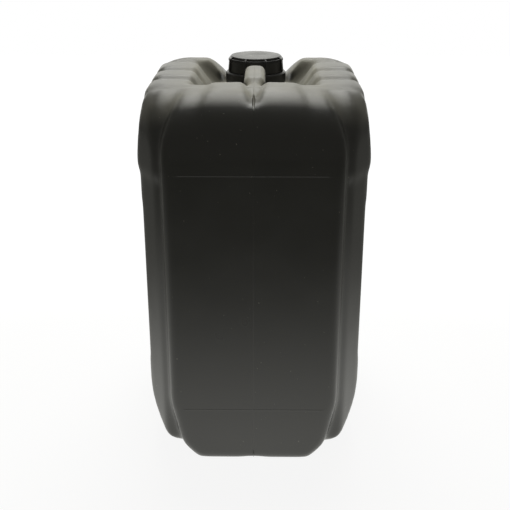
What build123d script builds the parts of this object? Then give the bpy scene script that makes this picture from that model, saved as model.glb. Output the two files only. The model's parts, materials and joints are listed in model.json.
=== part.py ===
from build123d import *
import math
import os

# A stackable 20 litre oil canister, blow moulded in one piece with a hollow carrying handle,
# and closed by a screw cap with a tamper ring and a sealing disc.
# Lengths are in millimetres. X runs across the canister, Y from the grip end to the cap end,
# Z up. The origin is the middle of the base, on the surface that the canister stands on.

# Whole canister
body_width = 238.0
body_depth = 290.0
shoulder_height = 397.0
wall = 2.0
overrun = 20.0

# Barrel, which stands back behind the end panels
barrel_setback = 14.0
barrel_floor = 8.0
barrel_corner_width = 48.0
barrel_corner_height = 66.0
waist_step = 2.4
waist_drop = 82.0
taper_drop = 67.0
shoulder_taper = 9.0
shoulder_taper_radius = 60.0
shoulder_edge_radius = 12.0
flank_width = 23.0
flank_depth = 39.0
flank_end_radius = 14.0
flank_side_radius = 30.0
barrel_front_roll = 65.0
barrel_rear_roll = 45.0
barrel_base_roll = 20.0
flank_front_roll = 40.0
flank_rear_roll = 36.0
flank_skim = 0.2

# Raised end panels, carried on under the barrel as the keel that the canister stands on
panel_half_width = 89.5
panel_arch_radius = 88.0
panel_arch_drop = 57.0
panel_edge_radius = 7.0
panel_front_roll = 60.0
panel_rear_roll = 50.0
panel_base_roll = 3.5
keel_half_width = 60.0
keel_edge_radius = 12.0
keel_bend_half_width = 78.0
keel_bend_height = 18.5
keel_side_height = 72.0
keel_bend_radius = 40.0

# Groove along the middle of the base, and the recess that clears a cap stacked below
base_groove_width = 21.0
base_groove_depth = 2.5
base_recess_width = 86.0
base_recess_margin = 30.0
base_recess_depth = 4.0
base_recess_radius = 12.0

# Shallow field on each wide side
field_margin = 55.0
field_bottom = 92.0
field_drop = 109.0
field_depth = 1.5
field_radius = 18.0

# Block at the grip end that the handle grows out of
block_half_width = 43.0
block_foot_half_width = 50.0
block_foot_drop = 12.0
block_rise = 3.5
block_sink = 0.5
block_edge_radius = 6.0
block_crest_length = 19.0
block_back_lean = 6.0
block_back_drop = 20.0

# Notch where the mould pinches the front of the handle
notch_depth = 16.0
notch_half_width = 10.0

# Well for the fingers, the deck behind it that holds the neck, and the spout channel at the end
well_setback = 83.0
well_half_width = 67.0
well_floor_half_width = 30.0
well_depth = 57.0
well_end_lean = 8.0
well_floor_radius = 12.0
deck_depth = 32.0
deck_corner_radius = 10.0
channel_half_width = 55.0
channel_floor_half_width = 28.0
channel_lead = 10.0
shoulder_inner_radius = 9.0
shoulder_flat = 12.0

# Grooves across the shoulders, between the ribs that carry the stack
groove_pitch_share = 0.1725
groove_count = 4
groove_radius = 14.0
groove_depth = 5.0
groove_end_drop = 25.0
front_groove_start = 52.0

# Handle
handle_width = 23.0
handle_height = 22.0
handle_edge_radius = 6.0
handle_rise = 0.5
handle_neck_gap = 40.0
handle_bend_radius = 14.0
handle_root_depth = 12.0
handle_root_rear = 19.5
handle_shoulder = 16.0
stem_shoulder = 18.0
stem_width = 14.0
stem_height = 20.0
stem_neck_length = 18.0
stem_tip_setback = 21.0
stem_tip_width = 2.4
stem_edge_share = 0.23

# Neck and mouth
neck_setback = 60.0
neck_pocket_radius = 41.5
neck_bore = 50.0
neck_diameter = 57.0
neck_bead_diameter = 60.6
neck_bead_height = 2.4
neck_bead_rise = 6.0
neck_rise = 0.6
neck_lip_radius = 1.0
neck_flange_diameter = 66.0

# Cap, sealing disc and tamper ring
fit_gap = 0.3
seal_gap = 0.1
cap_rise = 4.6
cap_top_diameter = 58.3
cap_edge_diameter = 62.5
cap_edge_height = 1.9
cap_edge_radius = 0.8
cap_top_radius = 0.4
cap_skirt_diameter = 64.5
cap_plate = 2.0
cap_inner_chamfer = 2.6
cap_rib_count = 8
cap_rib_width = 2.6
cap_rib_rise = 0.9
cap_rib_slope_height = 3.2
liner_diameter = 55.4
ring_diameter = 70.0
ring_drop = 15.8
ring_height = 9.6
ring_lip = 1.3
ring_hook_height = 3.0
ring_hook_gap = 0.5

# Places worked out from the sizes above
half_width = body_width / 2
half_depth = body_depth / 2
lower_half_width = half_width - waist_step
top_half_width = half_width - shoulder_taper
barrel_end = half_depth - barrel_setback
waist_height = shoulder_height - waist_drop
taper_start = shoulder_height - taper_drop
panel_arch_height = shoulder_height - panel_arch_drop
above = shoulder_height + overrun
block_top = shoulder_height + block_rise
neck_axis = half_depth - neck_setback
channel_start = neck_axis - channel_lead
well_front = -half_depth + well_setback
well_floor = shoulder_height - well_depth
deck_height = shoulder_height - deck_depth
deck_half_width = well_half_width - (
    (well_half_width - well_floor_half_width) * deck_depth / well_depth
)
groove_pitch = body_depth * groove_pitch_share
groove_rise = groove_radius - groove_depth
groove_end_height = shoulder_height - groove_end_drop
handle_top = shoulder_height + handle_rise
handle_middle = handle_top - handle_height / 2
handle_rear = neck_axis - handle_neck_gap
well_rear = handle_rear - handle_root_rear
grip_front = well_front + handle_shoulder
stem_start = grip_front - stem_shoulder
stem_drop_start = stem_start - stem_neck_length
stem_tip = -half_depth + stem_tip_setback
neck_top = shoulder_height + neck_rise
cap_top = shoulder_height + cap_rise
ring_top = shoulder_height - ring_drop
ring_bottom = ring_top - ring_height
flange_top = ring_bottom - fit_gap
cap_bottom = ring_top + fit_gap
cap_ceiling = cap_top - cap_plate
cap_bore = neck_bead_diameter + 2 * fit_gap


def left_of(before, after):
    """Unit vector that points to the left of the way from one point to another."""
    return (Vector(*after) - Vector(*before)).normalized().rotate(Axis.Z, 90)


def corner_left(before, corner, after, distance):
    """Corner of an outline, moved to the left of the way round it."""
    first = left_of(before, corner)
    second = left_of(corner, after)
    return Vector(*corner) + (first + second) * (distance / (1 + first.dot(second)))


def inset_radius(before, corner, after, radius, inset):
    """Radius of a corner after its outline has moved to the left. A sharp corner stays sharp."""
    if radius == 0:
        return 0
    turn = left_of(before, corner).cross(left_of(corner, after)).Z
    return max(radius - math.copysign(inset, turn), 0)


def inset_outline(points, radii, inset):
    """Corners and radii of a closed outline, drawn anticlockwise, moved inwards by inset."""
    count = len(points)
    corners = []
    corner_radii = []
    for index in range(count):
        trio = points[index - 1], points[index], points[(index + 1) % count]
        corners.append(corner_left(*trio, inset))
        corner_radii.append(inset_radius(*trio, radii[index], inset))
    return corners, corner_radii


def inset_path(points, radii, inset):
    """The same for an open line, which has a radius at each corner between its ends."""
    corners = [Vector(*points[0]) + left_of(points[0], points[1]) * inset]
    corner_radii = []
    for index in range(1, len(points) - 1):
        trio = points[index - 1], points[index], points[index + 1]
        corners.append(corner_left(*trio, inset))
        corner_radii.append(inset_radius(*trio, radii[index - 1], inset))
    corners.append(Vector(*points[-1]) + left_of(points[-2], points[-1]) * inset)
    return FilletPolyline(*corners, radius=corner_radii)


def rounded(points, radii, inset=0):
    """Closed outline through the points, each corner with its own radius."""
    corners, corner_radii = inset_outline(points, radii, inset)
    with BuildSketch() as outline:
        with BuildLine():
            FilletPolyline(*corners, radius=corner_radii, close=True)
        make_face()
    return outline.sketch


def mirrored(points, radii, inset=0):
    """The same, from the right hand half of a symmetrical outline."""
    left = [(-x, z) for x, z in reversed(points)]
    return rounded(points + left, radii + list(reversed(radii)), inset)


def along_y(outline, start, end):
    """Front outline, drawn as (x, z), carried from one depth to another."""
    placed = Plane.XZ.offset(-start) * outline
    return extrude(placed, amount=end - start, dir=(0, 1, 0))


def along_x(outline, reach):
    """Side outline, drawn as (y, z), carried to both sides."""
    placed = Plane.YZ * outline
    return extrude(placed, amount=reach, both=True)


def along_z(outline, start, end):
    """Plan outline, drawn as (x, y), carried from one height to another."""
    placed = Plane.XY.offset(start) * outline
    return extrude(placed, amount=end - start)


def turned(points, radii):
    """Half section, drawn as (radius, z), turned about the neck's axis."""
    section = Plane.XZ * rounded(points, radii)
    ring = revolve(section, axis=Axis.Z)
    return Pos(0, neck_axis, 0) * ring


def barrel_front(inset):
    """Barrel seen from the grip end."""
    corner_half_width = lower_half_width - barrel_corner_width
    corner_height = barrel_floor + barrel_corner_height
    with BuildSketch() as outline:
        with BuildLine():
            Line((0, barrel_floor + inset), (corner_half_width, barrel_floor + inset))
            EllipticalCenterArc(
                (corner_half_width, corner_height),
                barrel_corner_width - inset,
                barrel_corner_height - inset,
                start_angle=-90,
                arc_size=90,
            )
            inset_path(
                [
                    (lower_half_width, corner_height),
                    (lower_half_width, waist_height - 2 * waist_step),
                    (half_width, waist_height - waist_step),
                    (half_width, taper_start),
                    (top_half_width, shoulder_height),
                    (0, shoulder_height),
                ],
                [0, 0, shoulder_taper_radius, shoulder_edge_radius],
                inset,
            )
            mirror(about=Plane.YZ)
        make_face()
    return outline.sketch


def barrel_side(inset):
    """Barrel seen from a wide side."""
    points = [
        (-barrel_end, barrel_floor),
        (barrel_end, barrel_floor),
        (barrel_end, shoulder_height),
        (-barrel_end, shoulder_height),
    ]
    radii = [barrel_base_roll, barrel_base_roll, barrel_rear_roll, barrel_front_roll]
    return rounded(points, radii, inset)


def barrel_plan(inset):
    """Barrel seen from above, with a slanted flank at each corner."""
    quarter = [(half_width, barrel_end - flank_depth), (half_width - flank_width, barrel_end)]
    right = [(x, -y) for x, y in reversed(quarter)] + quarter
    radii = [flank_end_radius, flank_side_radius, flank_side_radius, flank_end_radius]
    return mirrored(right, radii, inset)


def flank_rolls(inset):
    """Slab between two opposite flanks, with the rolls over its ends, and its mirror image."""
    across = Vector(flank_depth, -flank_width, 0).normalized()
    reach = across.dot(Vector(half_width, flank_depth - barrel_end, 0)) - flank_skim
    points = [
        (-reach, barrel_floor - overrun),
        (reach, barrel_floor - overrun),
        (reach, shoulder_height),
        (-reach, shoulder_height),
    ]
    outline = rounded(points, [0, 0, flank_front_roll, flank_rear_roll], inset)
    plane = Plane(origin=(0, 0, 0), x_dir=across, z_dir=across.cross(Vector(0, 0, 1)))
    slab = extrude(plane * outline, amount=body_depth, both=True)
    return slab, mirror(slab, about=Plane.YZ)


def barrel(inset):
    """Barrel, with the waist step that runs round it under the shoulders."""
    step_height = waist_height + inset / 2
    upper = along_z(barrel_plan(inset), step_height, above)
    upper = chamfer(upper.edges().group_by(Axis.Z)[0], waist_step)
    lower = along_z(barrel_plan(inset + waist_step), 0, step_height)
    front = along_y(barrel_front(inset), -half_depth, half_depth)
    side = along_x(barrel_side(inset), body_width)
    form = (upper + lower) & front & side
    for slab in flank_rolls(inset):
        form = form & slab
    return form


def panel_front(inset):
    """Raised end panel, seen from the grip end: keel, straight sides and arched head."""
    arch_centre = panel_half_width - panel_arch_radius
    arch_radius = panel_arch_radius - inset
    top = shoulder_height - inset
    arch_angle = math.degrees(math.asin((top - panel_arch_height) / arch_radius))
    with BuildSketch() as outline:
        with BuildLine():
            inset_path(
                [
                    (0, 0),
                    (keel_half_width, 0),
                    (keel_bend_half_width, keel_bend_height),
                    (panel_half_width, keel_side_height),
                    (panel_half_width, panel_arch_height),
                ],
                [keel_edge_radius, keel_bend_radius, keel_bend_radius],
                inset,
            )
            head = CenterArc((arch_centre, panel_arch_height), arch_radius, 0, arch_angle)
            Line(head @ 1, (0, top))
            mirror(about=Plane.YZ)
        make_face()
    return outline.sketch


def panel_side(inset):
    """End panels and keel, seen from a wide side."""
    points = [
        (-half_depth, 0),
        (half_depth, 0),
        (half_depth, shoulder_height),
        (-half_depth, shoulder_height),
    ]
    radii = [panel_base_roll, panel_base_roll, panel_rear_roll, panel_front_roll]
    return rounded(points, radii, inset)


def panels(inset):
    """Both end panels with the keel between them, softened round their edges."""
    plate = along_y(panel_front(inset), -half_depth + inset, half_depth - inset)
    ends = plate.faces().group_by(Axis.Y)
    plate = fillet(ends[0].edges() + ends[-1].edges(), panel_edge_radius - inset)
    return plate & along_x(panel_side(inset), body_width)


def block_side(inset):
    """Handle block seen from a wide side."""
    roll_height = shoulder_height - panel_front_roll
    roll_start = -half_depth + panel_front_roll
    reach = panel_front_roll - block_sink
    crest_end = roll_start + block_crest_length
    foot = roll_height - block_edge_radius
    lean = block_back_lean * (block_top - foot) / block_back_drop
    with BuildSketch() as outline:
        with BuildLine():
            inset_path(
                [
                    (roll_start - reach, roll_height),
                    (roll_start - reach, foot),
                    (crest_end + lean, foot),
                    (crest_end, block_top),
                    (roll_start, block_top),
                ],
                [0, 0, block_edge_radius],
                inset,
            )
            EllipticalCenterArc(
                (roll_start, roll_height),
                reach - inset,
                block_top - roll_height - inset,
                start_angle=90,
                arc_size=90,
            )
        make_face()
    return outline.sketch


def block(inset):
    """Block at the grip end, a little prouder than the panel that it stands on."""
    low = shoulder_height - panel_front_roll - overrun
    points = [
        (block_foot_half_width, low),
        (block_foot_half_width, block_top - block_foot_drop),
        (block_half_width, block_top + block_sink),
    ]
    front = mirrored(points, [0, block_edge_radius, block_edge_radius], inset)
    return along_y(front, -half_depth, 0) & along_x(block_side(inset), body_width)


def channel_front(floor_half_width, floor, half, floor_radius, inset):
    """Opening between the shoulders, with its rounded rims."""
    points = [
        (floor_half_width, floor),
        (half, shoulder_height),
        (half + shoulder_flat, shoulder_height),
        (half + shoulder_flat, above),
    ]
    return mirrored(points, [floor_radius, shoulder_inner_radius, 0, 0], -inset)


def well(inset):
    """Deep well under the handle, where the fingers go."""
    front = channel_front(
        well_floor_half_width, well_floor, well_half_width, well_floor_radius, inset
    )
    rise = (above - well_floor) / (shoulder_height - well_floor)
    lean = well_end_lean * rise
    floor_front = well_front + well_end_lean
    floor_rear = well_rear - well_end_lean
    points = [
        (floor_front, well_floor),
        (floor_rear, well_floor),
        (floor_rear + lean, above),
        (floor_front - lean, above),
    ]
    side = rounded(points, [well_floor_radius, well_floor_radius, 0, 0], -inset)
    return along_y(front, -half_depth, half_depth) & along_x(side, body_width)


def deck(inset):
    """Deck behind the well, as wide as the well is at that height, and its pocket round the neck."""
    front = channel_front(
        deck_half_width, deck_height, well_half_width, deck_corner_radius, inset
    )
    trough = along_y(front, well_rear - overrun, channel_start + inset)
    pocket = Pos(0, neck_axis, deck_height - inset) * Cylinder(
        neck_pocket_radius + inset,
        above - deck_height,
        align=(Align.CENTER, Align.CENTER, Align.MIN),
    )
    return trough + pocket


def channel(inset):
    """Narrower channel that runs on to the cap end."""
    front = channel_front(
        channel_floor_half_width, deck_height, channel_half_width, deck_corner_radius, inset
    )
    return along_y(front, well_rear, half_depth + overrun)


def groove(place, foot, crest, inset):
    """One rounded groove over both shoulders, fading out at its ends."""
    edge = (top_half_width, shoulder_height)
    side = (half_width, taper_start)
    share = (shoulder_height - groove_end_height) / (shoulder_height - taper_start)
    end = (top_half_width + shoulder_taper * share, groove_end_height)
    outer = corner_left(side, edge, crest, -groove_rise)
    last = Vector(*end) - left_of(side, edge) * groove_radius
    last += (last - outer).normalized() * inset
    outer_radius = shoulder_edge_radius + groove_rise
    inner_radius = shoulder_inner_radius + groove_rise
    if foot[1] < crest[1]:
        first = Vector(*foot) + left_of(foot, crest) * groove_radius
        inner = corner_left(foot, crest, edge, groove_rise)
        first += (first - inner).normalized() * inset
        path = FilletPolyline(first, inner, outer, last, radius=[inner_radius, outer_radius])
    else:
        first = Vector(*foot) + left_of(crest, edge) * groove_radius
        first += (first - outer).normalized() * inset
        path = FilletPolyline(first, outer, last, radius=[outer_radius])
    section = Plane(origin=path @ 0, z_dir=path % 0) * Circle(groove_radius + inset)
    right = Plane.XZ.offset(-place) * sweep(section, path=path)
    return right + mirror(right, about=Plane.YZ)


def grooves(inset):
    """All the shoulder grooves. The foremost starts on the flat beside the block."""
    cuts = []
    for number in range(groove_count):
        place = (number - (groove_count - 1) / 2) * groove_pitch
        foot = (deck_half_width, deck_height)
        crest = (well_half_width, shoulder_height)
        if place < well_front:
            foot = (front_groove_start, shoulder_height)
        cuts.append(groove(place, foot, crest, inset))
    return cuts


def notch(inset):
    """V shaped notch in the front of the block, down to the pinched seam."""
    slope = notch_half_width / notch_depth
    bottom = block_top - notch_depth
    spread = slope * (above - bottom)
    outline = rounded([(0, bottom), (spread, above), (-spread, above)], [0, 0, 0], -inset)
    return along_y(outline, -half_depth - overrun, well_front + overrun)


def base_cuts(inset):
    """Groove and recess under the keel."""
    groove_height = 2 * (base_groove_depth + inset)
    bottom_groove = Box(base_groove_width + 2 * inset, body_depth + overrun, groove_height)
    recess = extrude(
        RectangleRounded(
            base_recess_width + 2 * inset,
            body_depth - 2 * (base_recess_margin - inset),
            base_recess_radius + inset,
        ),
        amount=base_recess_depth + inset,
        both=True,
    )
    return [bottom_groove, recess]


def side_fields(inset):
    """Shallow rectangular field on each wide side."""
    field_top = shoulder_height - field_drop
    length = body_depth - 2 * (field_margin - inset)
    height = field_top - field_bottom + 2 * inset
    outline = RectangleRounded(length, height, field_radius + inset)
    middle = (field_top + field_bottom) / 2
    depth = lower_half_width - field_depth - inset
    cuts = []
    for side in (-1, 1):
        plane = Plane(origin=(side * depth, 0, middle), x_dir=(0, 1, 0), z_dir=(side, 0, 0))
        cuts.append(extrude(plane * outline, amount=overrun))
    return cuts


def handle(inset):
    """Hollow grip over the well, rooted in the deck, and its stem that runs into the notch."""
    bar_width = handle_width - 2 * inset
    bar_height = handle_height - 2 * inset
    section = RectangleRounded(bar_width, bar_height, handle_edge_radius - inset)
    root_middle = handle_rear - handle_height / 2
    path = Plane.YZ * FilletPolyline(
        (root_middle, deck_height - handle_root_depth),
        (root_middle, handle_middle),
        (grip_front, handle_middle),
        radius=[handle_bend_radius],
    )
    start = Plane(origin=path @ 0, x_dir=(1, 0, 0), z_dir=path % 0)
    grip = sweep(start * section, path=path)
    return grip + stem(inset)


def stem_section(place, width, height, top, radius, inset):
    """One cross section of the stem, as a rounded face that looks along Y."""
    section = RectangleRounded(width - 2 * inset, height - 2 * inset, radius - inset)
    return Plane(origin=(0, place, top - height / 2), x_dir=(1, 0, 0), z_dir=(0, -1, 0)) * section


def stem(inset):
    """Front of the handle, drawn in to a narrow neck and falling to a point in the notch."""
    tip_height = block_top - notch_depth
    radius = stem_edge_share * stem_width
    sections = [
        (grip_front, handle_width, handle_height, handle_top, handle_edge_radius),
        (stem_start, stem_width, stem_height, handle_top, radius),
        (stem_drop_start, stem_width, stem_height, handle_top, radius),
    ]
    if inset == 0:
        middle = (stem_drop_start + stem_tip) / 2
        middle_top = (handle_top + tip_height) / 2
        tip_radius = stem_edge_share * stem_tip_width
        sections.append((middle, stem_width / 2, stem_height, middle_top, radius / 2))
        sections.append((stem_tip, stem_tip_width, stem_height, tip_height, tip_radius))
    faces = [stem_section(*section, inset) for section in sections]
    return loft(faces)


def neck():
    """Neck on the deck: flange for the tamper ring, retaining bead and sealing lip."""
    bead_bottom = ring_bottom + neck_bead_rise
    bead_top = bead_bottom + neck_bead_height
    points = [
        (0, deck_height - wall),
        (neck_flange_diameter / 2, deck_height - wall),
        (neck_flange_diameter / 2, flange_top),
        (neck_diameter / 2, flange_top),
        (neck_diameter / 2, bead_bottom),
        (neck_bead_diameter / 2, bead_bottom),
        (neck_bead_diameter / 2, bead_top),
        (neck_diameter / 2, bead_top + neck_bead_height),
        (neck_diameter / 2, neck_top),
        (0, neck_top),
    ]
    radii = [0, 0, neck_lip_radius, 0, 0, 0, 0, 0, neck_lip_radius, 0]
    return turned(points, radii)


def mouth():
    """Bore of the neck, from the inside of the canister to its lip."""
    length = neck_top + overrun - well_floor
    bore = Cylinder(neck_bore / 2, length, align=(Align.CENTER, Align.CENTER, Align.MIN))
    return Pos(0, neck_axis, well_floor) * bore


def moulded(inset):
    """Whole moulded form without its neck: the outside, or the cavity inside the wall."""
    form = barrel(inset) + panels(inset) + block(inset)
    for cut in [well(inset), deck(inset), channel(inset)]:
        form = form - cut
    for cut in grooves(inset) + base_cuts(inset) + side_fields(inset):
        form = form - cut
    return form - notch(inset) + handle(inset)


def body():
    """Canister body with its neck, hollow through the handle, open at the mouth."""
    outside = moulded(0) + neck()
    inside = moulded(wall) + mouth()
    return outside - inside


def cap_form(edge):
    """Cap as one turned shell. The edge is its outline from the foot of the skirt to the top."""
    bore = cap_bore / 2
    points = [
        (0, cap_ceiling),
        (bore - cap_inner_chamfer, cap_ceiling),
        (bore, cap_ceiling - cap_inner_chamfer),
        (bore, cap_bottom),
    ]
    radii = [0, 0, 0, 0] + [radius for across, up, radius in edge] + [0]
    points += [(across, up) for across, up, radius in edge]
    return turned(points + [(0, cap_top)], radii)


def cap():
    """Screw cap with a raised disc on top and grip ribs, open below."""
    skirt = cap_skirt_diameter / 2
    shoulder = cap_edge_diameter / 2
    disc = cap_top_diameter / 2
    step = cap_top - cap_edge_height
    shell = cap_form(
        [
            (skirt, cap_bottom, 0),
            (shoulder, step, cap_edge_radius),
            (disc, step, 0),
            (disc, cap_top, cap_top_radius),
        ]
    )
    wider = cap_form(
        [
            (skirt + cap_rib_rise, cap_bottom, 0),
            (shoulder + cap_rib_rise, cap_top - cap_rib_slope_height, cap_edge_radius),
            (disc, cap_top, 0),
        ]
    )
    spacing = 360 / cap_rib_count
    bar = Box(
        cap_rib_width,
        cap_skirt_diameter,
        cap_top - cap_bottom,
        align=(Align.CENTER, Align.MIN, Align.MIN),
    )
    for number in range(cap_rib_count):
        turn = Pos(0, neck_axis, cap_bottom) * Rot(0, 0, (number + 0.5) * spacing)
        shell = shell + (wider & (turn * Pos(0, neck_bore / 2, 0) * bar))
    return shell


def liner():
    """Sealing disc held in the head of the cap."""
    bottom = neck_top + seal_gap
    top = cap_ceiling - seal_gap
    return Pos(0, neck_axis, bottom) * Cylinder(
        liner_diameter / 2, top - bottom, align=(Align.CENTER, Align.CENTER, Align.MIN)
    )


def tamper_ring():
    """Ring that stays behind on the neck, hooked under the neck's bead."""
    outer = ring_diameter / 2
    bore = cap_bore / 2
    hook = neck_diameter / 2 + ring_hook_gap
    points = [
        (hook, ring_bottom),
        (outer, ring_bottom),
        (outer, ring_top - ring_lip),
        (outer - ring_lip, ring_top),
        (bore, ring_top),
        (bore, ring_bottom + ring_hook_height + ring_lip),
        (hook, ring_bottom + ring_hook_height),
    ]
    return turned(points, [0] * len(points))


def main():
    os.makedirs("parts", exist_ok=True)
    pieces = {
        "body": body(),
        "cap": cap(),
        "seal_liner": liner(),
        "tamper_ring": tamper_ring(),
    }
    for name, piece in pieces.items():
        export_step(piece, f"parts/{name}.step")


main()
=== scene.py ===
import json
import math

import bpy
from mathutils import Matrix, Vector

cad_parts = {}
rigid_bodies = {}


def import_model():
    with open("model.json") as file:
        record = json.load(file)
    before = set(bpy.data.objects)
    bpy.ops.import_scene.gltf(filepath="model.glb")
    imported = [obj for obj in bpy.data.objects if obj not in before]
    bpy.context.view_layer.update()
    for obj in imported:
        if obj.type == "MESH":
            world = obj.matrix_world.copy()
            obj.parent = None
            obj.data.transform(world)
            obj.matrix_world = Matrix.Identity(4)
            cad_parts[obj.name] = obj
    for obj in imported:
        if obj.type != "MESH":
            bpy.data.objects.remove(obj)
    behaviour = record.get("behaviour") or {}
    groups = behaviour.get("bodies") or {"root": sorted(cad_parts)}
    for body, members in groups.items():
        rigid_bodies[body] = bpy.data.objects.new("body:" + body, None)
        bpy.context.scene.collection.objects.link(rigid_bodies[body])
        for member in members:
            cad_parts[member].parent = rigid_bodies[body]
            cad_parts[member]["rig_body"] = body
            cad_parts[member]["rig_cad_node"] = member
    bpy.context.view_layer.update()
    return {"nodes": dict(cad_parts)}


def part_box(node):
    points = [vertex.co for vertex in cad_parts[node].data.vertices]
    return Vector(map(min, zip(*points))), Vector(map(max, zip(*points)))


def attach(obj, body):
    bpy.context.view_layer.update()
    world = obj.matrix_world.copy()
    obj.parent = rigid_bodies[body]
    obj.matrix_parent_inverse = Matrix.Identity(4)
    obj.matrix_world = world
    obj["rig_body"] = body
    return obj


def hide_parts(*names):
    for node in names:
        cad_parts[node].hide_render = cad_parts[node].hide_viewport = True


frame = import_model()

bl_info = {
    "name": "Stackable oil canister",
    "version": (1, 0, 0),
    "blender": (4, 5, 0),
    "location": "3D View > Sidebar > Canister",
    "description": "Builds a blow moulded 20 litre oil canister over its CAD frame",
    "category": "Add Mesh",
}

# Places taken from the frame, in metres. The canister stands on Z = 0 and its neck is vertical.
cap_low, cap_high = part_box("cap")
ring_low, ring_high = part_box("tamper_ring")
liner_low, liner_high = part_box("seal_liner")
body_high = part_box("body")[1]
neck_axis = (cap_low + cap_high) / 2
MILLIMETRE = 0.001
TURN = 2 * math.pi


def length(name, description, millimetres):
    """Size that a user may change, given here in millimetres."""
    return bpy.props.FloatProperty(
        name=name,
        description=description,
        default=millimetres * MILLIMETRE,
        unit="LENGTH",
        subtype="DISTANCE",
        precision=5,
    )


def share(name, description, default):
    """Number from nothing to all of something."""
    return bpy.props.FloatProperty(
        name=name, description=description, default=default, min=0, max=1, subtype="FACTOR"
    )


def whole(name, description, default):
    return bpy.props.IntProperty(name=name, description=description, default=default, min=1)


def number(name, description, default):
    return bpy.props.FloatProperty(name=name, description=description, default=default)


def colour(name, description, default):
    return bpy.props.FloatVectorProperty(
        name=name, description=description, default=default, size=3, min=0, max=1, subtype="COLOR"
    )


class CanisterShellSizes(bpy.types.PropertyGroup):
    grain: length("Moulding grain", "Size of the facets that the soft moulding is made from", 2.9)
    softness: length("Softness", "Length over which the corners are smoothed", 6)
    crown_softness: length(
        "Crown softness", "The same for the four upper corners, and never over the ridges'", 8.5
    )
    ridge_softness: length("Ridge softness", "The same for the upright ridges of the ends", 7.5)
    handle_softness: length("Handle softness", "The same for the handle and the rails", 3.6)
    handle_lift: length("Handle lift", "Height that the handle bows up over the frame's", 3)
    root_dip: length("Root dip", "Depth that the crest loses beside the handle's root", 2.2)
    far_lift: length("Far corner lift", "Height that the far upper corners gain", 1.4)
    pinch_length: length("Pinch length", "Length of the pinched slit in front of the handle", 30)
    pinch_width: length("Pinch width", "Width of that slit", 3.4)
    pinch_depth: length("Pinch depth", "Depth of that slit", 3.5)
    cavity_grain: length("Cavity grain", "Size of the facets inside the canister", 3)
    cavity_kept: share("Kept cavity facets", "Share of the facets kept inside", 0.3)
    deck_drop: length("Deck drop", "Depth of the deck below the tamper ring", 6.6)
    seam_width: length("Seam width", "Width of the line where the mould halves meet", 1.1)
    seam_height: length("Seam height", "Height of that line", 0.22)
    scar_height: length("Scar height", "Height of the stub at the foot of that line", 0.8)
    insert_line_height: length("Insert line height", "Height of the lines of the end inserts", 0.22)
    upper_line: length("Upper insert line", "Height of the upper line on the end panels", 325)
    lower_line: length("Lower insert line", "Height of the lower line on the end panels", 65)
    line_reach: length("Insert line reach", "Half of the length of these lines", 74)


class NeckSizes(bpy.types.PropertyGroup):
    bore: length("Bore", "Radius of the mouth", 25)
    wall_radius: length("Neck radius", "Radius of the neck under its thread", 28.5)
    flange_radius: length("Flange radius", "Radius of the flange under the tamper ring", 33)
    bead_radius: length("Bead radius", "Radius of the bead that holds the tamper ring", 30.3)
    bead_rise: length("Bead rise", "Height of the bead above the tamper ring's foot", 6)
    bead_height: length("Bead height", "Height of the bead", 2.4)
    lip_radius: length("Lip rounding", "Rounding of the sealing lip", 1)
    thread_depth: length("Thread depth", "Height of the thread above the neck", 1.5)
    pitch: length("Pitch", "Rise of the thread in one turn", 6)
    thread_root: length("Thread root", "Width of the thread at its foot", 3)
    thread_crest: length("Thread crest", "Width of the thread at its crest", 1.2)
    facets: whole("Facets", "Facets round the neck", 144)
    thread_facets: whole("Thread facets", "Facets in one turn of the thread", 72)


class CapSizes(bpy.types.PropertyGroup):
    facets: whole("Facets", "Facets round the cap", 320)
    top_radius: length("Top radius", "Radius of the raised disc on top", 28.9)
    shoulder_radius: length("Shoulder radius", "Radius of the skirt at its upper edge", 31.25)
    step: length("Step", "Height of the disc above the shoulder", 2.6)
    plate: length("Plate", "Thickness of the top", 2)
    bore: length("Bore", "Radius inside the skirt", 30.6)
    inner_chamfer: length("Inner chamfer", "Slope between skirt and top, inside", 2.6)
    rounding: length("Rounding", "Rounding of the outer edges", 0.5)
    ribs: whole("Ribs", "Grip ribs round the skirt", 8)
    rib_width: length("Rib width", "Width of a grip rib", 2.3)
    rib_rise: length("Rib rise", "Height of a grip rib above the skirt", 1.1)
    rib_drop: length("Rib drop", "Height that the ribs lose outside the disc", 3)
    slack: length("Rib overlap", "Depth that the ribs reach into the skirt", 0.4)
    knurl_height: length("Knurl height", "Height of the row of fine flutes under the step", 1.6)
    knurl_rise: length("Knurl rise", "Height of the fine flutes above the skirt", 0.45)
    gate_radius: length("Gate radius", "Radius of the dimple in the middle of the disc", 2.4)
    gate_depth: length("Gate depth", "Depth of that dimple", 0.2)
    thread_crest: length("Thread crest radius", "Inner radius of the cap's thread", 29)


class RingSizes(bpy.types.PropertyGroup):
    lip: length("Lip", "Slope at the upper edge of the tamper ring", 1.5)
    hook_radius: length("Hook radius", "Radius of the hook under the bead", 29)
    hook_height: length("Hook height", "Height of the hook", 3)
    rounding: length("Rounding", "Rounding of the outer edges", 0.3)
    rise: length("Rise", "Height of the ring's edge and the cap's rim over the frame's", 2.6)


class Finishes(bpy.types.PropertyGroup):
    canister: colour("Canister", "Black polyethylene of the canister", (0.024, 0.024, 0.021))
    closure: colour("Closure", "Black plastic of the cap and ring", (0.016, 0.016, 0.016))
    # Dust tone, partly painted light: it is pale enough to lighten the well's upward slopes as if a
    # lamp reached them
    dust_and_light: colour("Dust", "Beige dust on the upper surfaces", (0.42, 0.405, 0.335))
    dust_and_light_share: share("Dust share", "Share of dust where it lies thickest", 0.75)
    dust_roughness: share("Dust roughness", "Roughness of the dusty skin", 0.65)
    liner: colour("Liner", "Foam of the sealing disc", (0.75, 0.75, 0.72))
    canister_roughness: share("Canister roughness", "Roughness of the moulded skin", 0.30)
    closure_roughness: share("Closure roughness", "Roughness of the cap and ring", 0.36)


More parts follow.
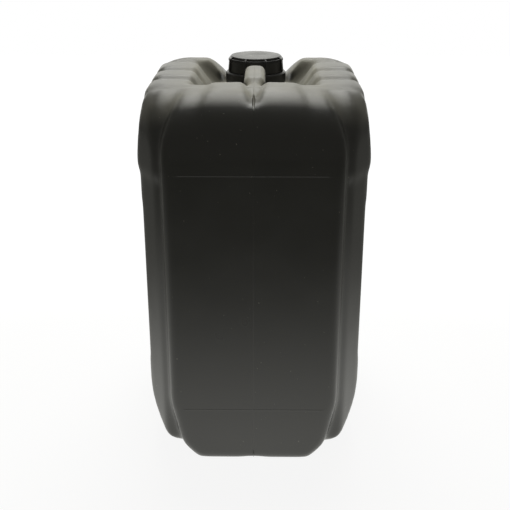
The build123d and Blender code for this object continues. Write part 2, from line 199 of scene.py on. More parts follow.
class StudioSettings(bpy.types.PropertyGroup):
    camera_distance: number("Camera distance", "Metres in front of the middle", 0.928)
    camera_height: number("Camera height", "Metres above the floor", 0.568)
    camera_side: number("Camera side", "Metres to the right of the middle", 0.0105)
    camera_tilt: number("Camera tilt", "Degrees down", 22.47)
    camera_lens: number("Lens", "Millimetres on a 36 mm wide sensor", 60.48)


def settings():
    """Sizes and finishes of this canister, kept on the scene."""
    return bpy.context.scene.canister


class CanisterSettings(bpy.types.PropertyGroup):
    shell: bpy.props.PointerProperty(type=CanisterShellSizes)
    neck: bpy.props.PointerProperty(type=NeckSizes)
    cap: bpy.props.PointerProperty(type=CapSizes)
    ring: bpy.props.PointerProperty(type=RingSizes)
    finishes: bpy.props.PointerProperty(type=Finishes)
    studio: bpy.props.PointerProperty(type=StudioSettings)


def on_axis(height):
    """Point on the neck's axis."""
    return Vector((neck_axis.x, neck_axis.y, height))


def select_only(*pieces):
    bpy.ops.object.select_all(action="DESELECT")
    for piece in pieces:
        piece.select_set(True)
    bpy.context.view_layer.objects.active = pieces[0]


def apply_modifier(piece, kind, **values):
    """Adds a modifier with these values and applies it."""
    select_only(piece)
    modifier = piece.modifiers.new(kind.title(), kind)
    for name, value in values.items():
        setattr(modifier, name, value)
    bpy.ops.object.modifier_apply(modifier=modifier.name)


def combine(piece, other, operation):
    """Joins a closed piece to another, or cuts it away, and removes it."""
    apply_modifier(piece, "BOOLEAN", object=other, operation=operation, solver="MANIFOLD")
    select_only(other)
    bpy.ops.object.delete()
    return piece


def pick_vertices(piece, chosen):
    """Selects the vertices whose place passes the test, and stays in edit mode."""
    select_only(piece)
    bpy.ops.object.mode_set(mode="EDIT")
    bpy.ops.mesh.select_mode(type="VERT")
    bpy.ops.mesh.select_all(action="DESELECT")
    bpy.ops.object.mode_set(mode="OBJECT")
    for vertex in piece.data.vertices:
        vertex.select = chosen(vertex.co)
    bpy.ops.object.mode_set(mode="EDIT")


def pick_faces(piece, chosen):
    """Selects the faces that pass the test, and stays in edit mode."""
    select_only(piece)
    bpy.ops.object.mode_set(mode="EDIT")
    bpy.ops.mesh.select_mode(type="FACE")
    bpy.ops.mesh.select_all(action="DESELECT")
    bpy.ops.object.mode_set(mode="OBJECT")
    for face in piece.data.polygons:
        face.select = chosen(face)
    bpy.ops.object.mode_set(mode="EDIT")


def leave_edit():
    bpy.ops.object.mode_set(mode="OBJECT")


def turned(name, facets, outline, closed=False):
    """Rings pulled up one from another about the neck's axis, along (radius, height) pairs."""
    radius, height = outline[0]
    bpy.ops.object.select_all(action="DESELECT")
    bpy.ops.mesh.primitive_circle_add(vertices=facets, radius=radius, location=on_axis(height))
    piece = bpy.context.object
    piece.name = name
    bpy.ops.object.transform_apply(location=True, rotation=True, scale=True)
    bpy.ops.object.mode_set(mode="EDIT")
    bpy.ops.mesh.select_mode(type="VERT")
    bpy.ops.mesh.select_all(action="SELECT")
    for next_radius, next_height in outline[1:]:
        rise = (0, 0, next_height - height)
        spread = next_radius / radius
        bpy.ops.mesh.extrude_region_move(TRANSFORM_OT_translate={"value": rise})
        bpy.ops.transform.resize(
            value=(spread, spread, 1), center_override=on_axis(next_height)
        )
        radius, height = next_radius, next_height
    bpy.ops.mesh.select_all(action="SELECT")
    if closed:
        bpy.ops.mesh.remove_doubles(threshold=0.00001)
    else:
        bpy.ops.mesh.fill_holes(sides=0)
    bpy.ops.mesh.select_all(action="SELECT")
    bpy.ops.mesh.normals_make_consistent(inside=False)
    leave_edit()
    return piece


def rounded(corners, radius, steps=3):
    """Outline with each (radius, height, is_round) corner that is round cut by a short arc."""
    outline = []
    count = len(corners)
    for index, (across, up, is_round) in enumerate(corners):
        corner = Vector((across, up))
        if not is_round:
            outline.append(tuple(corner))
            continue
        before = Vector(corners[index - 1][:2])
        after = Vector(corners[(index + 1) % count][:2])
        back = (before - corner).normalized()
        ahead = (after - corner).normalized()
        half_angle = back.angle(ahead) / 2
        reach = radius / math.tan(half_angle)
        centre = corner + (back + ahead).normalized() * (radius / math.sin(half_angle))
        start = (corner + back * reach - centre).normalized()
        end = (corner + ahead * reach - centre).normalized()
        for step in range(steps + 1):
            outline.append(tuple(centre + start.slerp(end, step / steps) * radius))
    return outline


def ramp(value, low, high):
    """From nothing to all as the value rises between the two."""
    return min(1, max(0, (value - low) / (high - low)))


def smooth(piece, degrees):
    select_only(piece)
    bpy.ops.object.shade_smooth_by_angle(angle=math.radians(degrees))


def thread(name, root_radius, crest_radius, bottom, turns):
    """Closed right-handed ridge round the neck's axis, with flat ends."""
    sizes = settings().neck
    bpy.ops.object.select_all(action="DESELECT")
    bpy.ops.mesh.primitive_plane_add(size=1, location=on_axis(bottom))
    ridge = bpy.context.object
    ridge.name = name
    corners = [
        (root_radius, -sizes.thread_root / 2),
        (crest_radius, -sizes.thread_crest / 2),
        (crest_radius, sizes.thread_crest / 2),
        (root_radius, sizes.thread_root / 2),
    ]
    bpy.ops.object.mode_set(mode="EDIT")
    bpy.ops.mesh.select_mode(type="VERT")
    bpy.ops.mesh.select_all(action="SELECT")
    bpy.ops.mesh.delete(type="ONLY_FACE")
    leave_edit()
    for index, (across, up) in zip((0, 1, 3, 2), corners):
        ridge.data.vertices[index].co = (across, 0, up)
    apply_modifier(
        ridge,
        "SCREW",
        angle=TURN,
        screw_offset=sizes.pitch,
        iterations=turns,
        steps=sizes.thread_facets,
        render_steps=sizes.thread_facets,
        use_normal_calculate=True,
    )
    select_only(ridge)
    bpy.ops.object.transform_apply(location=True, rotation=True, scale=True)
    bpy.ops.object.mode_set(mode="EDIT")
    bpy.ops.mesh.select_all(action="SELECT")
    bpy.ops.mesh.fill_holes(sides=0)
    bpy.ops.mesh.select_all(action="SELECT")
    bpy.ops.mesh.normals_make_consistent(inside=False)
    leave_edit()
    return ridge


# Finishes


def add_node(tree, kind, **values):
    """Node of this kind, with its settings and the values of its sockets."""
    node = tree.nodes.new(kind)
    for name, value in values.items():
        if hasattr(node, name):
            setattr(node, name, value)
        else:
            node.inputs[name.replace("_", " ").title()].default_value = value
    return node


def noise(tree, place, scale, detail):
    node = add_node(tree, "ShaderNodeTexNoise", Scale=scale, Detail=detail)
    tree.links.new(place, node.inputs["Vector"])
    return node.outputs["Fac"]


def ranged(tree, value, from_low, from_high, low, high):
    node = add_node(tree, "ShaderNodeMapRange", clamp=True)
    node.inputs["From Min"].default_value = from_low
    node.inputs["From Max"].default_value = from_high
    node.inputs["To Min"].default_value = low
    node.inputs["To Max"].default_value = high
    tree.links.new(value, node.inputs["Value"])
    return node.outputs["Result"]


def joined(tree, operation, first, second):
    """Two values, one of which may be a plain number, put together by this operation."""
    node = add_node(tree, "ShaderNodeMath", operation=operation)
    tree.links.new(first, node.inputs[0])
    if isinstance(second, float):
        node.inputs[1].default_value = second
    else:
        tree.links.new(second, node.inputs[1])
    return node.outputs["Value"]


def multiplied(tree, first, second):
    return joined(tree, "MULTIPLY", first, second)


def mixed(tree, amount, first, second):
    """One of two colours, or a mix of them."""
    node = tree.nodes.new("ShaderNodeMix")
    node.data_type = "RGBA"
    node.inputs[6].default_value = (*first, 1)
    node.inputs[7].default_value = (*second, 1)
    tree.links.new(amount, node.inputs[0])
    return node.outputs[2]


def bump(tree, height, strength, distance, under=None):
    node = add_node(tree, "ShaderNodeBump", Strength=strength, Distance=distance)
    tree.links.new(height, node.inputs["Height"])
    if under:
        tree.links.new(under, node.inputs["Normal"])
    return node.outputs["Normal"]


def lighter(tone, amount):
    return tuple(min(1, part * amount) for part in tone)


def new_finish(name):
    """Material with its shader, its node tree and its Object coordinates."""
    finish = bpy.data.materials.new(name)
    finish.use_nodes = True
    tree = finish.node_tree
    shader = tree.nodes["Principled BSDF"]
    place = tree.nodes.new("ShaderNodeTexCoord").outputs["Object"]
    return finish, tree, shader, place


def dust_and_painted_light(tree, place):
    """Share of dust and painted light, in patches on what faces up near the top, most of all in the
    well, whose slopes it lightens as if lit.
    """
    facing = tree.nodes.new("ShaderNodeSeparateXYZ")
    normal = tree.nodes.new("ShaderNodeNewGeometry").outputs["Normal"]
    tree.links.new(normal, facing.inputs["Vector"])
    heights = tree.nodes.new("ShaderNodeSeparateXYZ")
    tree.links.new(place, heights.inputs["Vector"])
    across = joined(tree, "ABSOLUTE", heights.outputs["X"], 0.0)
    along = joined(tree, "ABSOLUTE", heights.outputs["Y"], 0.0)
    patches = ranged(tree, noise(tree, place, 40, 5), 0.3, 0.7, 0.6, 1)
    upward = facing.outputs["Z"]
    dust_and_light_cover = multiplied(tree, ranged(tree, upward, 0.15, 0.4, 0, 1), patches)
    dust_and_light_cover = multiplied(tree, dust_and_light_cover, ranged(tree, upward, 0.8, 0.98, 1, 0.6))
    # Each row holds a distance, where the dust and painted light are whole, where they are least,
    # and that least
    for distance, start, end, least in (
        (heights.outputs["Z"], 0.37, 0.33, 0),
        (across, 0.066, 0.095, 0.3),
        (along, 0.1, 0.122, 0),
    ):
        dust_and_light_cover = multiplied(tree, dust_and_light_cover, ranged(tree, distance, start, end, 1, least))
    return multiplied(tree, dust_and_light_cover, settings().finishes.dust_and_light_share)


def polyethylene():
    """Blow moulded skin: faint mottling, a fine grain, dust that dulls it and is also painted light
    on the well's slopes, and pale specks.
    """
    finishes = settings().finishes
    tone = tuple(finishes.canister)
    finish, tree, shader, place = new_finish("moulded_polyethylene")
    mottle = noise(tree, place, 14, 3)
    cloud = ranged(tree, mottle, 0.1, 0.9, 0, 1)
    base = mixed(tree, cloud, lighter(tone, 0.88), lighter(tone, 1.15))
    # Dust, with painted light on the well's slopes, which the lamps leave dark
    dust_and_light = dust_and_painted_light(tree, place)
    specks = ranged(tree, noise(tree, place, 420, 1), 0.77, 0.8, 0, 0.4)
    dusted_and_lit = mixed(tree, joined(tree, "MAXIMUM", dust_and_light, specks), tone, tuple(finishes.dust_and_light))
    tree.links.new(base, dusted_and_lit.node.inputs[6])
    tree.links.new(dusted_and_lit, shader.inputs["Base Color"])
    gloss = finishes.canister_roughness
    sheen = ranged(tree, mottle, 0, 1, gloss - 0.08, gloss + 0.1)
    dull = (finishes.dust_roughness - gloss) / finishes.dust_and_light_share
    rough = joined(tree, "ADD", sheen, multiplied(tree, dust_and_light, dull))
    tree.links.new(rough, shader.inputs["Roughness"])
    grain = noise(tree, place, 1400, 2)
    waves = noise(tree, place, 22, 1)
    soft = bump(tree, waves, 0.25, 0.0006)
    tree.links.new(bump(tree, grain, 0.3, 0.00004, soft), shader.inputs["Normal"])
    return finish


def closure_plastic():
    """Injection moulded cap and ring, darker and a little glossier than the canister."""
    finishes = settings().finishes
    tone = tuple(finishes.closure)
    finish, tree, shader, place = new_finish("closure_plastic")
    mottle = noise(tree, place, 60, 3)
    base = mixed(tree, mottle, lighter(tone, 0.8), lighter(tone, 1.25))
    tree.links.new(base, shader.inputs["Base Color"])
    gloss = finishes.closure_roughness
    sheen = ranged(tree, mottle, 0.3, 0.7, gloss - 0.04, gloss + 0.06)
    tree.links.new(sheen, shader.inputs["Roughness"])
    grain = noise(tree, place, 1800, 2)
    tree.links.new(bump(tree, grain, 0.25, 0.00004), shader.inputs["Normal"])
    return finish


def liner_foam():
    """Pale foam with open pores."""
    tone = tuple(settings().finishes.liner)
    finish, tree, shader, place = new_finish("liner_foam")
    pores = noise(tree, place, 1500, 3)
    base = mixed(tree, pores, lighter(tone, 0.9), lighter(tone, 1.05))
    tree.links.new(base, shader.inputs["Base Color"])
    shader.inputs["Roughness"].default_value = 0.85
    tree.links.new(bump(tree, pores, 0.5, 0.0001), shader.inputs["Normal"])
    return finish


def coat(piece, finish):
    piece.data.materials.clear()
    piece.data.materials.append(finish)


# Canister shell

# Bands where the smoothing changes from none to all of a region's, in metres: up from the
# floor, or out from the middle across (X) and along (Y). The handle's own middle lies a
# little nearer to the grip end.
CROWN_UP, CROWN_ACROSS, CROWN_ALONG = (0.33, 0.36), (0.045, 0.065), (0.05, 0.08)
RIDGE_FOOT, RIDGE_HEAD, RIDGE_ALONG = (0.03, 0.07), (0.3, 0.33), (0.095, 0.115)
HANDLE_UP, HANDLE_ACROSS, HANDLE_ALONG = (0.345, 0.355), (0.018, 0.028), (0.065, 0.08)
HANDLE_SETBACK = 0.03
RAIL_UP, RAIL_ACROSS, RAIL_ALONG = (0.37, 0.38), (0.04, 0.06), (0.08, 0.095)

# Regions that cooled a little out of the frame's form, in metres: least height, span out
# from the middle, span along, and how far round them the move dies away
HANDLE_BACK = (0.39, (-0.011, 0.011), (-0.045, 0.03), 0.012)
ROOT_SIDES = (0.385, (0.007, 0.01), (-0.085, -0.058), 0.005)
FAR_CORNERS = (0.385, (0.076, 0.1), (0.07, 0.1), 0.014)

# Place of the slit in metres and its slope in degrees
PINCH_PLACE = (0, -0.111, 0.3895)
PINCH_SLOPE = 20

# Where the stub at the foot of the end seam lies, in metres: before this Y, in this span of Z
SCAR_ALONG = -0.1
SCAR_UP = (0.002, 0.016)


def inside_neck(face):
    """True for the faces of the frame's neck, which stands on the deck."""
    sizes = settings()
    deck = ring_low.z - sizes.shell.deck_drop
    offset = face.center - on_axis(face.center.z)
    reach = sizes.neck.flange_radius + MILLIMETRE / 2
    return offset.length < reach and face.center.z > deck + MILLIMETRE / 4


def cut_out_skins():
    """Copy of the frame's canister without its neck, as its closed outside and its cavity."""
    body = frame["nodes"]["body"]
    select_only(body)
    bpy.ops.object.duplicate()
    copy = bpy.context.object
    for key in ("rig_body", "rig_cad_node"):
        del copy[key]
    bpy.ops.object.parent_clear(type="CLEAR_KEEP_TRANSFORM")
    bpy.ops.object.mode_set(mode="EDIT")
    bpy.ops.mesh.select_all(action="SELECT")
    bpy.ops.mesh.remove_doubles(threshold=0.000002)
    leave_edit()
    pick_faces(copy, inside_neck)
    bpy.ops.mesh.delete(type="FACE")
    bpy.ops.mesh.select_all(action="SELECT")
    bpy.ops.mesh.fill_holes(sides=0)
    bpy.ops.mesh.separate(type="LOOSE")
    leave_edit()
    skins = sorted(bpy.context.selected_objects, key=lambda skin: skin.dimensions.y)
    return skins[-1], skins[-2]


def softness_at(place):
    """Length over which the skin is smoothed, which is least on the handle and the rails."""
    sizes = settings().shell
    up, across, along = place.z, abs(place.x), abs(place.y)
    crown = ramp(up, *CROWN_UP) * ramp(across, *CROWN_ACROSS) * ramp(along, *CROWN_ALONG)
    ridges = (1 - ramp(up, *RIDGE_HEAD)) * ramp(up, *RIDGE_FOOT) * ramp(along, *RIDGE_ALONG)
    middle = 1 - ramp(across, *HANDLE_ACROSS)
    from_middle = abs(place.y + HANDLE_SETBACK)
    handle = ramp(up, *HANDLE_UP) * middle * (1 - ramp(from_middle, *HANDLE_ALONG))
    rail = ramp(up, *RAIL_UP) * ramp(across, *RAIL_ACROSS) * (1 - ramp(along, *RAIL_ALONG))
    softness = sizes.softness
    softness += (sizes.crown_softness - sizes.softness) * crown
    softness += (sizes.ridge_softness - sizes.softness) * ridges
    return softness + (sizes.handle_softness - softness) * max(handle, rail)


def soften(skin, grain):
    """Even facets all over, smoothed as the blown plastic rounds off each corner."""
    apply_modifier(skin, "REMESH", mode="VOXEL", voxel_size=grain)
    most = settings().shell.ridge_softness
    levels = {}
    for vertex in skin.data.vertices:
        level = round((min(softness_at(vertex.co), most) / most) ** 2, 2)
        levels.setdefault(level, []).append(vertex.index)
    group = skin.vertex_groups.new(name="softness")
    for level, vertices in levels.items():
        group.add(vertices, level, "REPLACE")
    rounds = round((2 * most / grain) ** 2)
    apply_modifier(skin, "SMOOTH", factor=0.5, iterations=rounds, vertex_group="softness")
    skin.vertex_groups.clear()


def raise_region(skin, region, height):
    """Moves the vertices of a region up, and those within reach of them by less and less."""
    least, across, along, reach = region

    def inside(place):
        beside = across[0] < abs(place.x) < across[1]
        return place.z > least and beside and along[0] < place.y < along[1]

    pick_vertices(skin, inside)
    bpy.ops.transform.translate(
        value=(0, 0, height),
        use_proportional_edit=True,
        proportional_edit_falloff="SMOOTH",
        proportional_size=reach,
    )
    leave_edit()


def raise_line(skin, point, normal, height, chosen):
    """Fine raised line along a plane, only where a vertex is chosen."""
    half = settings().shell.seam_width / 2
    for offset in (-half, 0, half):
        pick_vertices(skin, lambda place: True)
        bpy.ops.mesh.bisect(plane_co=point + normal * offset, plane_no=normal)
        leave_edit()
    near = half / 50

    def on_line(place):
        return abs((place - point).dot(normal)) < near and chosen(place)

    pick_vertices(skin, on_line)
    bpy.ops.transform.shrink_fatten(value=height)
    leave_edit()


class AddCanisterShell(bpy.types.Operator):
    """Blow moulded canister with its hollow handle, neck and thread"""

    bl_idname = "canister.add_shell"
    bl_label = "Canister shell"

    def execute(self, context):
        sizes = settings().shell
        shell, cavity = cut_out_skins()
        shell.name = "canister_shell"
        soften(shell, sizes.grain)
        soften(cavity, sizes.cavity_grain)
        self.settle(shell)
        self.settle(cavity)
        apply_modifier(cavity, "DECIMATE", ratio=sizes.cavity_kept)
        across = Vector((1, 0, 0))
        up = Vector((0, 0, 1))
        raise_line(shell, Vector(), across, sizes.seam_height, lambda place: True)
        end = body_high.y - 4 * MILLIMETRE
        for height in (sizes.upper_line, sizes.lower_line):
            raise_line(
                shell,
                up * height,
                up,
                sizes.insert_line_height,
                lambda place: abs(place.y) > end and abs(place.x) < sizes.line_reach,
            )
        self.leave_scar(shell)
        combine(shell, neck_form(), "UNION")
        combine(shell, cavity, "DIFFERENCE")
        combine(shell, bore_form(), "DIFFERENCE")
        combine(shell, pinch_form(), "DIFFERENCE")
        smooth(shell, 40)
        apply_modifier(shell, "WEIGHTED_NORMAL", mode="FACE_AREA", weight=50, keep_sharp=True)
        coat(shell, polyethylene())
        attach(shell, "canister")
        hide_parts("body")
        return {"FINISHED"}

    def leave_scar(self, shell):
        """Stub at the foot of the end seam, where the waste was broken off."""
        sizes = settings().shell

        def on_stub(place):
            on_seam = abs(place.x) < sizes.seam_width / 20
            return on_seam and place.y < SCAR_ALONG and SCAR_UP[0] < place.z < SCAR_UP[1]

        pick_vertices(shell, on_stub)
        bpy.ops.transform.shrink_fatten(value=sizes.scar_height)
        leave_edit()

    def settle(self, skin):
        """Moves the parts of the top that cooled a little out of the frame's form."""
        sizes = settings().shell
        raise_region(skin, HANDLE_BACK, sizes.handle_lift)
        raise_region(skin, ROOT_SIDES, -sizes.root_dip)
        raise_region(skin, FAR_CORNERS, sizes.far_lift)


def pinch_form():
    """Lens that cuts the slit where the mould pinches the skin in front of the handle."""
    sizes = settings().shell
    bpy.ops.object.select_all(action="DESELECT")
    bpy.ops.mesh.primitive_uv_sphere_add(
        segments=24,
        ring_count=16,
        radius=0.5,
        location=PINCH_PLACE,
        rotation=(math.radians(PINCH_SLOPE), 0, 0),
        scale=(sizes.pinch_width, sizes.pinch_length, 2 * sizes.pinch_depth),
    )
    bpy.ops.object.transform_apply(location=True, rotation=True, scale=True)
    return bpy.context.object


def neck_form():
    """Solid neck: flange, bead under the tamper ring, thread and lip."""
    sizes = settings().neck
    deck = ring_low.z - settings().shell.deck_drop
    flange_top = ring_low.z - 0.3 * MILLIMETRE
    bead_bottom = ring_low.z + sizes.bead_rise
    bead_top = bead_bottom + sizes.bead_height
    top = liner_low.z - 0.1 * MILLIMETRE
    corners = [
        (sizes.flange_radius, deck - MILLIMETRE, False),
        (sizes.flange_radius, flange_top, True),
        (sizes.wall_radius, flange_top, False),
        (sizes.wall_radius, bead_bottom, False),
        (sizes.bead_radius, bead_bottom, True),
        (sizes.bead_radius, bead_top, False),
        (sizes.wall_radius, bead_top + sizes.bead_height, False),
        (sizes.wall_radius, top, True),
        (sizes.bore - MILLIMETRE, top, False),
    ]
    neck = turned("neck", sizes.facets, rounded(corners, sizes.lip_radius * 0.8))
    ridge = thread(
        "neck_thread",
        sizes.wall_radius - MILLIMETRE / 2,
        sizes.wall_radius + sizes.thread_depth,
        neck_thread_start(),
        2,
    )
    return combine(neck, ridge, "UNION")


def neck_thread_start():
    """Height of the foot of the neck's thread, just over the retaining bead."""
    sizes = settings().neck
    return ring_low.z + sizes.bead_rise + 2 * sizes.bead_height


def bore_form():
    """Solid that cuts the mouth and rounds the inner edge of the lip."""
    sizes = settings().neck
    deck = ring_low.z - settings().shell.deck_drop
    top = liner_low.z - 0.1 * MILLIMETRE
    flare = sizes.lip_radius
    corners = [
        (sizes.bore, deck - 8 * MILLIMETRE),
        (sizes.bore, top - flare),
        (sizes.bore + 0.3 * flare, top - 0.3 * flare),
        (sizes.bore + flare, top),
        (sizes.bore + flare, top + 2 * MILLIMETRE),
    ]
    return turned("bore", sizes.facets, corners)


# Closure


def spokes(count, width, start, reach, low, high):
    """Upright plates that stand out from the neck's axis, as one piece."""
    plates = []
    for index in range(count):
        angle = (index + 0.5) * TURN / count
        outward = Vector((math.cos(angle), math.sin(angle), 0))
        bpy.ops.mesh.primitive_cube_add(
            size=1,
            location=on_axis((low + high) / 2) + outward * (start + reach) / 2,
            rotation=(0, 0, angle),
            scale=(reach - start, width, high - low),
        )
        plates.append(bpy.context.object)
    select_only(*plates)
    bpy.ops.object.join()
    bpy.ops.object.transform_apply(location=True, rotation=True, scale=True)
    return plates[0]


def cap_form(name, edge, slack=0):
    """Turned shell of the cap, whose outside follows the edge from the rim to the top."""
    sizes = settings().cap
    ceiling = cap_high.z - sizes.plate + slack
    bore = sizes.bore + slack
    inside = [
        (bore - sizes.inner_chamfer, ceiling, False),
        (bore, ceiling - sizes.inner_chamfer, False),
        (bore, edge[0][1], False),
    ]
    return turned(name, sizes.facets, rounded(inside + edge, sizes.rounding))


class AddScrewCap(bpy.types.Operator):
    """Ribbed screw cap with a raised disc on top and its inner thread"""

    bl_idname = "canister.add_cap"
    bl_label = "Screw cap"

    def execute(self, context):
        sizes = settings().cap
        top = cap_high.z
        bottom = cap_low.z + settings().ring.rise
        skirt = (cap_high.x - cap_low.x) / 2
        step = top - sizes.step
        band = step - sizes.rounding * 2
        slope = (skirt - sizes.shoulder_radius) / (step - bottom)
        band_foot = band - sizes.knurl_height
        cap = cap_form(
            "screw_cap",
            [
                (skirt, bottom, True),
                (sizes.shoulder_radius + slope * (step - band_foot), band_foot, False),
                (sizes.shoulder_radius + slope * (step - band), band, False),
                (sizes.shoulder_radius, step, True),
                (sizes.top_radius, step, False),
                (sizes.top_radius, top, True),
                (sizes.gate_radius, top, False),
                (sizes.gate_radius * 0.8, top - sizes.gate_depth, False),
                (sizes.gate_radius * 0.2, top - sizes.gate_depth, False),
            ],
        )
        self.knurl(cap, band_foot, band, skirt)
        ribs = cap_form(
            "cap_ribs",
            [
                (skirt + sizes.rib_rise, bottom + sizes.slack, False),
                (sizes.shoulder_radius + sizes.rib_rise, top - sizes.rib_drop, True),
                (sizes.top_radius, top - sizes.rounding, False),
                (sizes.top_radius * 0.9, top - sizes.rounding, False),
            ],
            sizes.slack,
        )
        plates = spokes(
            sizes.ribs, sizes.rib_width, sizes.bore * 0.9, skirt * 1.2, bottom - sizes.slack, top
        )
        combine(ribs, plates, "INTERSECT")
        combine(cap, ribs, "UNION")
        combine(cap, cap_thread(), "UNION")
        smooth(cap, 35)
        coat(cap, closure_plastic())
        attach(cap, "cap")
        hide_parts("cap")
        return {"FINISHED"}

    def knurl(self, cap, low, high, skirt):
        """Row of fine upright flutes under the step."""
        sizes = settings().cap

        def on_flute(face):
            offset = face.center - on_axis(face.center.z)
            if not low < face.center.z < high or offset.length < sizes.bore + MILLIMETRE / 5:
                return False
            share_round = math.atan2(offset.y, offset.x) / TURN % 1
            return int(share_round * sizes.facets) % 4 < 2

        pick_faces(cap, on_flute)
        bpy.ops.mesh.extrude_region_shrink_fatten(
            TRANSFORM_OT_shrink_fatten={"value": sizes.knurl_rise}
        )
        leave_edit()


def cap_thread():
    """Inner thread, half a pitch above the neck's, so that the two run past each other."""
    neck = settings().neck
    sizes = settings().cap
    return thread(
        "cap_thread",
        sizes.bore + sizes.slack,
        sizes.thread_crest,
        neck_thread_start() + neck.pitch / 2,
        1,
    )


class AddTamperRing(bpy.types.Operator):
    """Ring that stays on the neck when the cap is first opened"""

    bl_idname = "canister.add_tamper_ring"
    bl_label = "Tamper ring"

    def execute(self, context):
        sizes = settings().ring
        outer = (ring_high.x - ring_low.x) / 2
        bore = settings().cap.bore
        top = ring_high.z + sizes.rise
        hook_top = ring_low.z + sizes.hook_height
        corners = [
            (sizes.hook_radius, ring_low.z, False),
            (outer, ring_low.z, True),
            (outer, top - sizes.lip, True),
            (outer - sizes.lip, top, True),
            (bore, top, False),
            (bore, hook_top + sizes.lip, False),
            (sizes.hook_radius, hook_top, False),
            (sizes.hook_radius, ring_low.z, False),
        ]
        facets = settings().cap.facets
        ring = turned("tamper_band", facets, rounded(corners, sizes.rounding), closed=True)
        smooth(ring, 35)
        coat(ring, closure_plastic())
        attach(ring, "canister")
        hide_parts("tamper_ring")
        return {"FINISHED"}


class AddSealingDisc(bpy.types.Operator):
    """Foam disc in the head of the cap"""

    bl_idname = "canister.add_sealing_disc"
    bl_label = "Sealing disc"

    def execute(self, context):
        radius = (liner_high.x - liner_low.x) / 2
        corners = [
            (radius * 0.2, liner_low.z, False),
            (radius, liner_low.z, True),
            (radius, liner_high.z, True),
            (radius * 0.2, liner_high.z, False),
        ]
        disc = turned("sealing_disc", 96, rounded(corners, 0.3 * MILLIMETRE))
        smooth(disc, 35)
        coat(disc, liner_foam())
        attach(disc, "liner")
        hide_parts("seal_liner")
        return {"FINISHED"}


# Studio

# Lamps: name, shape, place, aim and size in metres, power in watts, and tint
LAMPS = (
    ("overhead", "ELLIPSE", (0, 0.8, 1.5), (0, 0.8, 0), (0.85, 1.5), 16, (1, 1, 0.96)),
    ("behind", "RECTANGLE", (0, 1.9, 1.25), (0, 0, 1.25), (2.6, 2.5), 24, (1, 1, 0.95)),
)

# Painted glow of the floor, which the skin mirrors and which lights it: how far its middle lies
# before the canister's, how X shrinks in it, the distances in metres from full glow to none, and
# its strength
GLOW_SETBACK = (0, 0.19, 0)
GLOW_NARROWING = (0.5, 1, 1)
GLOW_REACH = (-0.09, 0.52)
GLOW_STRENGTH = 1.42

# Distances in metres over which the canister's shadow fades from the camera's floor, and the
# share of plain white over it nearer than that
SHADOW_REACH = (0.4, 0.7)
SHADOW_COVER = 0.85


def softbox(name, shape, place, aim, size, power, tint):
    light = bpy.data.lights.new(name, "AREA")
    light.shape = shape
    light.size, light.size_y = size
    light.energy = power
    light.color = tint
    lamp = bpy.data.objects.new(name, light)
    bpy.context.scene.collection.objects.link(lamp)
    lamp.location = place
    lamp.rotation_euler = (Vector(aim) - Vector(place)).to_track_quat("-Z", "Y").to_euler()
    lamp.visible_camera = False


def camera_only(tree, shown, real):
    """Shader that the camera sees, over the one that lights the object."""
    rays = tree.nodes.new("ShaderNodeLightPath")
    mix = tree.nodes.new("ShaderNodeMixShader")
    tree.links.new(rays.outputs["Is Camera Ray"], mix.inputs["Fac"])
    tree.links.new(real, mix.inputs[1])
    tree.links.new(shown, mix.inputs[2])
    return mix.outputs["Shader"]


class AddStudio(bpy.types.Operator):
    """Pale floor, soft light and the camera"""

    bl_idname = "canister.add_studio"
    bl_label = "Studio"

    def execute(self, context):
        scene = context.scene
        scene.view_settings.view_transform = "Standard"
        bpy.ops.object.select_all(action="DESELECT")
        bpy.ops.mesh.primitive_plane_add(size=5, location=(0, 0, -0.0005))
        floor = bpy.context.object
        floor.name = "studio_floor"
        coat(floor, pale_floor())
        for lamp in LAMPS:
            softbox(*lamp)
        self.light_the_room(scene)
        self.place_camera(scene)
        return {"FINISHED"}

    def light_the_room(self, scene):
        world = bpy.data.worlds.new("studio")
        world.use_nodes = True
        tree = world.node_tree
        room = tree.nodes["Background"]
        room.inputs["Color"].default_value = (1, 0.98, 0.9, 1)
        room.inputs["Strength"].default_value = 0.2
        shown = add_node(tree, "ShaderNodeBackground", Strength=1)
        shown.inputs["Color"].default_value = (1, 1, 1, 1)
        seen = camera_only(tree, shown.outputs["Background"], room.outputs["Background"])
        tree.links.new(seen, tree.nodes["World Output"].inputs["Surface"])
        scene.world = world

    def place_camera(self, scene):
        studio = settings().studio
        lens = bpy.data.cameras.new("camera")
        lens.lens = studio.camera_lens
        lens.sensor_width = 36
        camera = bpy.data.objects.new("camera", lens)
        scene.collection.objects.link(camera)
        camera.location = (
            studio.camera_side,
            -studio.camera_distance,
            studio.camera_height,
        )
        yaw = math.atan2(studio.camera_side, studio.camera_distance)
        camera.rotation_euler = (math.radians(90 - studio.camera_tilt), 0, yaw)
        scene.camera = camera


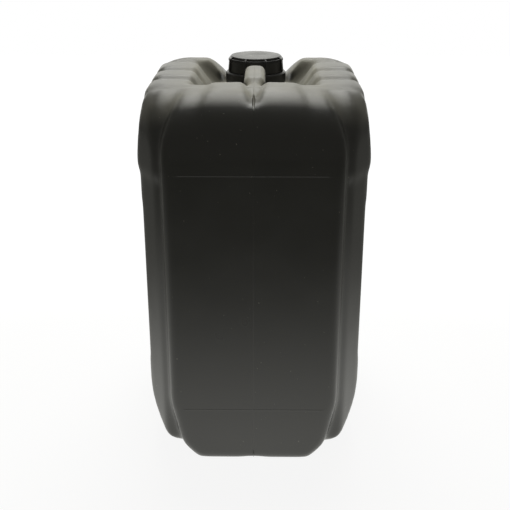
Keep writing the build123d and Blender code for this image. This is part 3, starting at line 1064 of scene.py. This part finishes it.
def pale_floor():
    """Pale sheet with a painted glow round the canister, which lights the skin. It keeps a faint
    shadow for the camera.
    """
    finish, tree, shader, place = new_finish("pale_floor")
    shader.inputs["Base Color"].default_value = (0.85, 0.85, 0.85, 1)
    shader.inputs["Roughness"].default_value = 0.9
    shown = add_node(tree, "ShaderNodeEmission", Strength=1.05)
    shown.inputs["Color"].default_value = (1, 1, 1, 1)
    blend = tree.nodes.new("ShaderNodeMixShader")
    reach = add_node(tree, "ShaderNodeVectorMath", operation="LENGTH")
    front = add_node(tree, "ShaderNodeVectorMath", operation="ADD")
    front.inputs[1].default_value = GLOW_SETBACK
    wide = add_node(tree, "ShaderNodeVectorMath", operation="MULTIPLY")
    wide.inputs[1].default_value = GLOW_NARROWING
    tree.links.new(place, wide.inputs[0])
    tree.links.new(wide.outputs["Vector"], front.inputs[0])
    tree.links.new(front.outputs["Vector"], reach.inputs[0])
    fade = ranged(tree, reach.outputs["Value"], *SHADOW_REACH, SHADOW_COVER, 1)
    tree.links.new(fade, blend.inputs["Fac"])
    tree.links.new(shader.outputs["BSDF"], blend.inputs[1])
    tree.links.new(shown.outputs["Emission"], blend.inputs[2])
    sheet = add_node(tree, "ShaderNodeBsdfDiffuse", Color=(0.3, 0.3, 0.29, 1))
    glow = add_node(tree, "ShaderNodeMapRange", interpolation_type="SMOOTHSTEP")
    glow.inputs["From Min"].default_value, glow.inputs["From Max"].default_value = GLOW_REACH
    glow.inputs["To Min"].default_value = GLOW_STRENGTH
    glow.inputs["To Max"].default_value = 0
    tree.links.new(reach.outputs["Value"], glow.inputs["Value"])
    # Painted glow: the floor shines round the canister though no lamp is there
    lit = add_node(tree, "ShaderNodeEmission", Color=(1, 1, 0.96, 1))
    tree.links.new(glow.outputs["Result"], lit.inputs["Strength"])
    both = tree.nodes.new("ShaderNodeAddShader")
    tree.links.new(sheet.outputs["BSDF"], both.inputs[0])
    tree.links.new(lit.outputs["Emission"], both.inputs[1])
    seen = camera_only(tree, blend.outputs["Shader"], both.outputs["Shader"])
    tree.links.new(seen, tree.nodes["Material Output"].inputs["Surface"])
    return finish


class CanisterPanel(bpy.types.Panel):
    """Pieces of the canister, each made by its own button"""

    bl_idname = "CANISTER_PT_pieces"
    bl_label = "Canister"
    bl_space_type = "VIEW_3D"
    bl_region_type = "UI"
    bl_category = "Canister"

    def draw(self, context):
        for operator in OPERATORS:
            self.layout.operator(operator.bl_idname)


OPERATORS = (AddCanisterShell, AddTamperRing, AddSealingDisc, AddScrewCap, AddStudio)
CLASSES = (
    CanisterShellSizes,
    NeckSizes,
    CapSizes,
    RingSizes,
    Finishes,
    StudioSettings,
    CanisterSettings,
    *OPERATORS,
    CanisterPanel,
)


def register():
    for item in CLASSES:
        bpy.utils.register_class(item)
    bpy.types.Scene.canister = bpy.props.PointerProperty(type=CanisterSettings)


def unregister():
    del bpy.types.Scene.canister
    for item in reversed(CLASSES):
        bpy.utils.unregister_class(item)


def main():
    register()
    bpy.ops.canister.add_shell()
    bpy.ops.canister.add_tamper_ring()
    bpy.ops.canister.add_sealing_disc()
    bpy.ops.canister.add_cap()
    bpy.ops.canister.add_studio()


if __name__ == "__main__":
    main()
